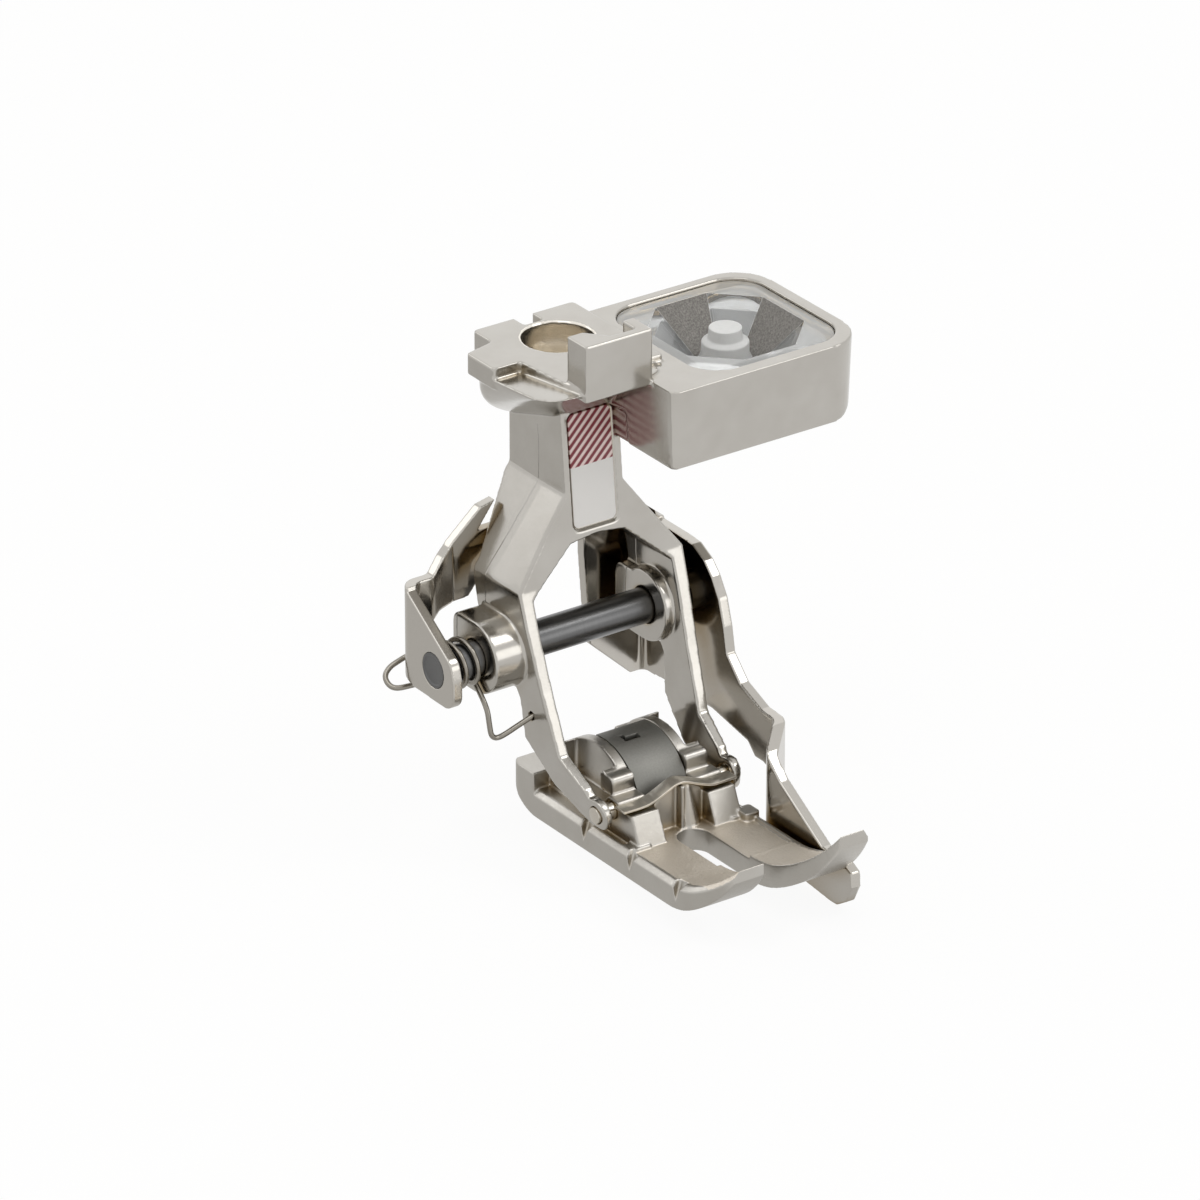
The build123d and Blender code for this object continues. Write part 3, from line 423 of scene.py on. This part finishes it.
# The two tones that each plating wavers between
smooth_plate = ("#BBB8B2", "#AEAAA3")
# The sunk floor's tones are lighter than the smooth plate's, partly for its rougher finish and partly as
# painted light that brightens the shaded floor
rough_plate_and_painted_light = ("#E4DDD2", "#D2C9BB")
casting = plated_casting(
    "nickel_plated_zinc_die_casting", smooth_plate, (0.12, 0.24), 0.004 * mm, parting=(-1.4 * mm, -6.5 * mm),
)
sole_plate = plated_casting("nickel_plated_satin_sole", smooth_plate, (0.22, 0.42), 0.02 * mm)
blasted_plate = plated_casting("nickel_plated_blasted_floor", rough_plate_and_painted_light, (0.38, 0.6), 0.14 * mm)
bore_reamed_and_painted_light = bore_plate_reamed_and_painted_light()
sheet_steel = plated_sheet()
shaft_steel = ground_steel("centreless_ground_steel", "#6E6E6E", 0.3)
wire_steel = ground_steel("drawn_spring_wire", "#9A958C", 0.25)
pin_steel = ground_steel("polished_pin_steel", "#CFC9BE", 0.2)
spring_strip = ground_steel("rolled_spring_strip", "#E2DCD0", 0.32)
acrylic = clear_acrylic("moulded_clear_acrylic", 0.6)
bright_acrylic = clear_acrylic("polished_clear_acrylic", 0.9)
frosted = frosted_acrylic()
scored = scored_acrylic()
foil = striped_foil()
shield_grey = satin_steel()

# Where the casting's second finishes lie: just round the bore, which is painted light, and just over the
# sole's sunk floor
bore_reach = 3.12 * mm
bore_foot = -4.8 * mm
bore_mouth = 0.02 * mm
floor_reach = 5.5 * mm
floor_height = -36.82 * mm
toes_from = -20 * mm


def in_bore(face):
    """Whether a face of the shank is in the bore or on its rim, and not on the head's outer walls."""
    x, y, z = face.center
    outward = face.normal.x * x + face.normal.y * y > 0.4 * hypot(x, y)
    return hypot(x, y) < bore_reach and bore_foot < z < bore_mouth and not outward


def on_sunk_floor(face):
    """Whether a face of the sole is on the floor between its rims or on the toes' tops."""
    x, y, z = face.center
    return (z < floor_height or y < toes_from) and abs(x) < floor_reach and face.normal.z > 0.6


# Plated pieces, from their CAD nodes with every edge rounded as a casting's or a tumbled pressing's is.
# The voxel is in mm, and the last number is the share of the triangles that is kept.
for node, name, body, material, voxel, passes, keep in (
    ("shank", "shank_casting", "shank_body", casting, 0.1, 15, 0.28),
    ("guide_bracket", "seam_guide_strip", "seam_guide", sheet_steel, 0.08, 8, 0.3),
    ("sole", "sole_casting", "sole_unit", sole_plate, 0.08, 8, 0.35),
):
    piece = worked_copy(node, name)
    round_like_a_casting(piece, voxel * mm, passes, keep)
    coat(piece, material)
    # The bore is reamed and painted light, and the sole's floor is left rough from the die and partly painted
    # light
    for carrier, finish, test in (("shank", bore_reamed_and_painted_light, in_bore), ("sole", blasted_plate, on_sunk_floor)):
        if node == carrier:
            piece.data.materials.append(finish)
            for face in piece.data.polygons:
                face.material_index = 1 if test(face) else 0
    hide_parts(node)
    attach(piece, body)

# Plain steel pieces and the label, from their CAD nodes with the edges broken by so many mm
for node, name, body, material, width in (
    ("feed_shield", "feed_shield_insert", "sole_unit", shield_grey, 0.05),
    ("hinge_pins", "hinge_pin_pair", "sole_unit", pin_steel, 0.08),
    ("leaf_spring", "leaf_spring_strip", "sole_unit", spring_strip, 0.04),
    ("label", "striped_label", "shank_body", foil, 0.03),
):
    piece = worked_copy(node, name)
    soften_edges(piece, width * mm)
    coat(piece, material)
    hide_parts(node)
    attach(piece, body)

# Cross shaft: a ground bar with chamfered, dished ends where it is riveted
low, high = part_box("cross_shaft")
bpy.ops.object.select_all(action="DESELECT")
bpy.ops.mesh.primitive_cylinder_add(
    vertices=96, radius=(high.z - low.z) / 2, depth=high.x - low.x,
    location=(low + high) / 2, rotation=(0, pi / 2, 0),
)
shaft = bpy.context.object
shaft.name = "cross_shaft_bar"
bpy.ops.object.transform_apply(location=True, rotation=True, scale=True)
select_faces(shaft, lambda face: abs(face.normal.x) > 0.9)
bpy.ops.object.mode_set(mode="EDIT")
bpy.ops.mesh.inset(thickness=0.22 * mm, depth=0)
bpy.ops.mesh.inset(thickness=0.1 * mm, depth=-0.08 * mm)
bpy.ops.object.mode_set(mode="OBJECT")
soften_edges(shaft, 0.08 * mm)
coat(shaft, shaft_steel)
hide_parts("cross_shaft")
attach(shaft, "seam_guide")

# Clear lens: a plate with rounded corners whose middle sinks in eight facets to the foot of a stake
low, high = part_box("code_lens")
centre = (low + high) / 2
length, width = high.x - low.x, high.y - low.y
plate_depth = 1.5 * mm
plate_corner = 2.9 * mm
# Margin from the lens's edge, depth, cut corner, and the foot's share of the top
dish_form = (1.5 * mm, 3.2 * mm, 2.6 * mm, 0.5)
hollow_form = (1.1 * mm, 4.3 * mm, 3.3 * mm, 0.3)
lap = 0.05 * mm


def block(name, size, place, corner, segments):
    """A block of this size and place with its four upright edges rounded or cut."""
    bpy.ops.object.select_all(action="DESELECT")
    bpy.ops.mesh.primitive_cube_add(size=1, location=place)
    piece = bpy.context.object
    piece.name = name
    piece.scale = size
    bpy.ops.object.transform_apply(location=True, rotation=True, scale=True)
    bpy.context.tool_settings.mesh_select_mode = (False, True, False)
    bpy.ops.object.mode_set(mode="EDIT")
    bpy.ops.mesh.select_all(action="DESELECT")
    bpy.ops.object.mode_set(mode="OBJECT")
    for edge in piece.data.edges:
        a, b = (piece.data.vertices[i].co for i in edge.vertices)
        edge.select = abs(a.z - b.z) > 0.5 * size[2]
    bpy.ops.object.mode_set(mode="EDIT")
    bpy.ops.mesh.bevel(offset=corner, segments=segments, affect="EDGES")
    bpy.ops.object.mode_set(mode="OBJECT")
    return piece


def sloped_block(name, form, top):
    """A block within the lens that hangs from this height and narrows downwards, with cut corners."""
    margin, depth, corner, foot = form
    size = (length - 2 * margin, width - 2 * margin, depth)
    piece = block(name, size, (centre.x, centre.y, top - depth / 2), corner, 1)
    select_faces(piece, lambda face: face.normal.z < -0.9)
    bpy.ops.object.mode_set(mode="EDIT")
    bpy.ops.transform.resize(value=(foot, foot, 1), center_override=centre)
    bpy.ops.object.mode_set(mode="OBJECT")
    return piece


def combine(piece, other, operation):
    """Join another closed piece to a piece, or cut it out, and delete the other."""
    select_only(piece)
    bpy.ops.object.modifier_add(type="BOOLEAN")
    change = piece.modifiers[-1]
    change.operation = operation
    change.solver = "EXACT"
    change.object = other
    bpy.ops.object.modifier_apply(modifier=change.name)
    bpy.data.objects.remove(other)


plate_centre = (centre.x, centre.y, high.z - plate_depth / 2)
lens = block("code_lens_clear", (length, width, plate_depth), plate_centre, plate_corner, 10)
combine(lens, sloped_block("dish", dish_form, high.z - plate_depth + lap), "UNION")
combine(lens, sloped_block("hollow", hollow_form, high.z + lap), "DIFFERENCE")
clear_slot, scored_slot, frosted_slot, bright_slot = range(4)
coat(lens, acrylic)
lens.data.materials.append(scored)
lens.data.materials.append(frosted)
lens.data.materials.append(bright_acrylic)
for face in lens.data.polygons:
    out_x, out_y = abs(face.center.x - centre.x), abs(face.center.y - centre.y)
    inside = out_x < length / 2 - 1 * mm and out_y < width / 2 - 1 * mm
    sloping = inside and 0.1 < face.normal.z < 0.98
    # The four broad slopes are scored, and the four that cut the corners between them are bright
    lean_x, lean_y = abs(face.normal.x), abs(face.normal.y)
    side_on = max(lean_x, lean_y) > 2 * min(lean_x, lean_y)
    face.material_index = (scored_slot if side_on else bright_slot) if sloping else clear_slot
soften_edges(lens, 0.09 * mm, angle=20, finish=frosted_slot)
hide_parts("code_lens")
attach(lens, "shank_body")

# Frosted stake down the middle of the lens: the width and height of each of its steps in mm, from the foot up
stake_steps = (
    (2.1, -6.4), (2.1, -5.4), (4.9, -5.0), (4.6, -3.9), (3.9, -3.1), (3.9, -2.1), (2.8, -1.9), (2.7, -0.87),
)
foot_width, foot_height = stake_steps[0]
bpy.ops.object.select_all(action="DESELECT")
bpy.ops.mesh.primitive_circle_add(
    vertices=64, radius=foot_width / 2 * mm, fill_type="NGON",
    location=(centre.x, centre.y, foot_height * mm),
)
stake = bpy.context.object
stake.name = "lens_stake"
bpy.ops.object.transform_apply(location=True, rotation=True, scale=True)
bpy.ops.object.mode_set(mode="EDIT")
bpy.ops.mesh.select_all(action="SELECT")
for (wide, base), (wider, top) in zip(stake_steps, stake_steps[1:]):
    bpy.ops.mesh.extrude_region_move(TRANSFORM_OT_translate={"value": (0, 0, (top - base) * mm)})
    share = wider / wide
    bpy.ops.transform.resize(value=(share, share, 1), center_override=(centre.x, centre.y, 0))
bpy.ops.mesh.inset(thickness=0.35 * mm, depth=-0.1 * mm)
bpy.ops.mesh.select_all(action="SELECT")
bpy.ops.mesh.normals_make_consistent(inside=False)
bpy.ops.object.mode_set(mode="OBJECT")
soften_edges(stake, 0.12 * mm, segments=3)
coat(stake, frosted)
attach(stake, "shank_body")

# Torsion spring, in mm: a round wire from behind the ear, round the shaft and down into the left arm
shaft_y, shaft_z = -3.8, -24.0
coil_start, coil_length, coil_radius = -13.35, 2.15, 1.92
coil_from, coil_sweep, coil_steps = 56, 664, 29
wire_radius = 0.23
wire_points = [
    (-13.1, 0.2, -27.2), (-14.8, 0.4, -27.25), (-15.6, 0.7, -27.25), (-15.85, 1.3, -27.0),
    (-15.75, 1.85, -26.5), (-15.1, 2.05, -26.0), (-14.3, 2.0, -25.7), (-13.25, 2.0, -25.4),
]
for step in range(coil_steps + 1):
    share = step / coil_steps
    turn = radians(coil_from + coil_sweep * share)
    y, z = shaft_y + coil_radius * cos(turn), shaft_z + coil_radius * sin(turn)
    wire_points.append((coil_start + coil_length * share, y, z))
wire_points += [
    (-11.2, -6.0, -27.2), (-11.2, -6.4, -28.9), (-11.15, -6.55, -29.8), (-10.7, -6.6, -30.15),
    (-10.0, -6.7, -30.0), (-8.6, -6.85, -29.4), (-7.3, -7.1, -28.8),
]
path = bpy.data.curves.new("torsion_spring_wire", "CURVE")
path.dimensions = "3D"
path.bevel_depth = wire_radius * mm
path.bevel_resolution = 4
path.resolution_u = 6
path.use_fill_caps = True
spline = path.splines.new("NURBS")
spline.points.add(len(wire_points) - 1)
for point, place in zip(spline.points, wire_points):
    point.co = (place[0] * mm, place[1] * mm, place[2] * mm, 1)
spline.order_u = 3
spline.use_endpoint_u = True
wire = bpy.data.objects.new("torsion_spring_wire", path)
bpy.context.scene.collection.objects.link(wire)
select_only(wire)
bpy.ops.object.convert(target="MESH")
wire = bpy.context.object
bpy.ops.object.shade_smooth_by_angle(angle=radians(40))
coat(wire, wire_steel)
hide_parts("torsion_spring")
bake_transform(wire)


# Floor, studio lights and camera


def seen_rays(tree):
    """An output that is 1 for camera, transmission and glossy rays, which meet a plain white studio."""
    rays = add_node(tree, "ShaderNodeLightPath")
    through = add_node(
        tree, "ShaderNodeMath", {"operation": "MAXIMUM"},
        {0: rays.outputs["Is Camera Ray"], 1: rays.outputs["Is Transmission Ray"]},
    )
    seen = add_node(
        tree, "ShaderNodeMath", {"operation": "MAXIMUM"},
        {0: through.outputs["Value"], 1: rays.outputs["Is Glossy Ray"]},
    )
    return seen.outputs["Value"]


floor_z = -41.2 * mm
bpy.ops.object.select_all(action="DESELECT")
bpy.ops.mesh.primitive_plane_add(size=4.0, location=(0, 0, floor_z))
floor = bpy.context.object
floor.name = "studio_floor"
floor_material, tree, shader = new_material(
    "white_paper_sweep", {"Roughness": 0.9, "Base Color": linear("#F2F2F2")},
)
# A tenth of the paper's own shading stays in the mix, and with it the object's shadow
part_seen = add_node(tree, "ShaderNodeMath", {"operation": "MULTIPLY", 1: 0.9}, {0: seen_rays(tree)})
glow = add_node(tree, "ShaderNodeEmission", {"Color": linear("#FFFFFF"), "Strength": 1.02})
paper_mix = add_node(
    tree, "ShaderNodeMixShader", {},
    {0: part_seen.outputs["Value"], 1: shader.outputs[0], 2: glow.outputs[0]},
)
tree.links.new(paper_mix.outputs[0], tree.nodes["Material Output"].inputs["Surface"])
coat(floor, floor_material)

# Grey card on the floor to the left of the foot and under it, which only the metal's left sides mirror:
# painted shade, dimmer than the glowing floor, for the shade round the foot
bpy.ops.object.select_all(action="DESELECT")
bpy.ops.mesh.primitive_plane_add(size=1, location=(-55.5 * mm, 43 * mm, floor_z + 0.1 * mm))
card = bpy.context.object
card.name = "studio_grey_card"
card.scale = (129 * mm, 154 * mm, 1)
bpy.ops.object.transform_apply(location=True, rotation=True, scale=True)
card.visible_camera = False
card.visible_diffuse = False
card.visible_transmission = False
card.visible_shadow = False
card_material, tree, shader = new_material("lit_grey_card", {
    "Roughness": 1.0, "Base Color": linear("#000000"),
    "Emission Color": linear("#DEDDDB"), "Emission Strength": 0.95,
})
coat(card, card_material)

world = bpy.data.worlds.new("studio_world")
bpy.context.scene.world = world
world.use_nodes = True
sky = world.node_tree
sky_light = sky.nodes["Background"]
sky_light.inputs["Color"].default_value = linear("#D8D6D2")
sky_light.inputs["Strength"].default_value = 0.9
white = add_node(sky, "ShaderNodeBackground", {"Color": linear("#FFFFFF"), "Strength": 1.0})
sky_mix = add_node(
    sky, "ShaderNodeMixShader", {}, {0: seen_rays(sky), 1: sky_light.outputs[0], 2: white.outputs[0]},
)
sky.links.new(sky_mix.outputs[0], sky.nodes["World Output"].inputs["Surface"])

# Square softboxes: where they stand and how wide they are, in metres, and their power in watts
for name, place, size, power in (
    ("front_softbox", (0.31, -0.26, 0.44), 0.2, 0.45),
    ("back_softbox", (-0.26, 0.44, 0.31), 0.2, 0.16),
    ("top_softbox", (-0.2, -0.1, 0.6), 0.35, 0.5),
    ("low_softbox", (0.28, -0.47, 0.1), 0.22, 0.18),
    ("far_softbox", (0.31, 0.43, 0.25), 0.35, 0.09),
):
    lamp = bpy.data.lights.new(name, "AREA")
    lamp.shape = "SQUARE"
    lamp.size = size
    lamp.energy = power
    holder = bpy.data.objects.new(name, lamp)
    bpy.context.scene.collection.objects.link(holder)
    holder.location = place
    aim = Vector((0, -0.01, -0.02)) - Vector(place)
    holder.rotation_euler = aim.to_track_quat("-Z", "Y").to_euler()

# Camera 0.8 m away at the photograph's viewing angle: 35.1 degrees left of the front and 26.2 degrees up
turn = radians(35.1)
lift = radians(26.2)
distance = 0.8
target = Vector((-1.926 * mm, -8.598 * mm, -19.458 * mm))
right = Vector((cos(turn), -sin(turn), 0))
up = Vector((sin(lift) * sin(turn), sin(lift) * cos(turn), cos(lift)))
back = Vector((-cos(lift) * sin(turn), -cos(lift) * cos(turn), sin(lift)))
camera_data = bpy.data.cameras.new("photo_camera")
camera_data.lens = 300
camera_data.sensor_width = 36
camera_data.clip_start = 0.01
camera = bpy.data.objects.new("photo_camera", camera_data)
bpy.context.scene.collection.objects.link(camera)
view = Matrix((right, up, back)).transposed().to_4x4()
view.translation = target + distance * back
camera.matrix_world = view
bpy.context.scene.camera = camera
bpy.context.scene.view_settings.view_transform = "Standard"
